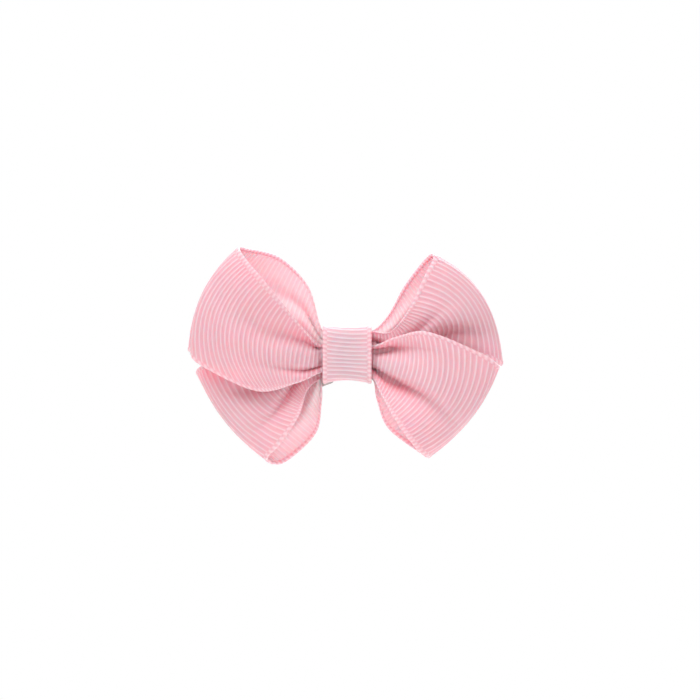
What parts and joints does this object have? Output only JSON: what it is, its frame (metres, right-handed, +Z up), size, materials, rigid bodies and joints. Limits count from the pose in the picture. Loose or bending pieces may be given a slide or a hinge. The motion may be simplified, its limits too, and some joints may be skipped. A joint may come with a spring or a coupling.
{
  "type": "hair bow",
  "caption": "Pleated grosgrain ribbon bow with crossed open loops and a wrapped knot, on a sprung toothed alligator hair clip.",
  "frame": {"origin": "in the mouth of the clip, straight behind the middle of the knot, on the back of the knot ribbon", "axes": "+X to the viewer's right along the bow, +Z up, the bow's face looks along -Y and the clip is on its +Y side"},
  "size_m": [0.0637, 0.0225, 0.0448],
  "materials": {
    "loop_ribbon": "pale pink polyester grosgrain, ribbed",
    "knot_ribbon": "pale pink narrow grosgrain, fine ribs",
    "lining_ribbon": "pale pink narrow grosgrain",
    "thread": "spun polyester thread",
    "hot_glue": "milky hot-melt glue",
    "nickel_steel": "bright nickel plate",
    "spring_wire": "drawn spring wire"
  },
  "bodies": {
    "bow": {"front_ribbon": "loop_ribbon", "rear_ribbon": "loop_ribbon", "binding_thread": "thread", "knot_ribbon": "knot_ribbon", "knot_ribbon_tail": "knot_ribbon", "glue_pad": "hot_glue", "blade_lining": "lining_ribbon", "clip_blade": "nickel_steel", "pivot_pin": "nickel_steel", "torsion_spring": "spring_wire"},
    "jaw": {"clip_jaw": "nickel_steel"}
  },
  "joints": [
    {"name": "jaw_hinge", "type": "hinge", "parent": "bow", "child": "jaw", "pos_m": [-0.0084, 0.00042, -0.00306], "axis": [-0.342, 0, 0.9397], "range_deg": [0, 24], "stiffness_Nm_per_rad": 0.12, "springref_deg": -34.38, "deforming": ["torsion_spring"]}
  ]
}
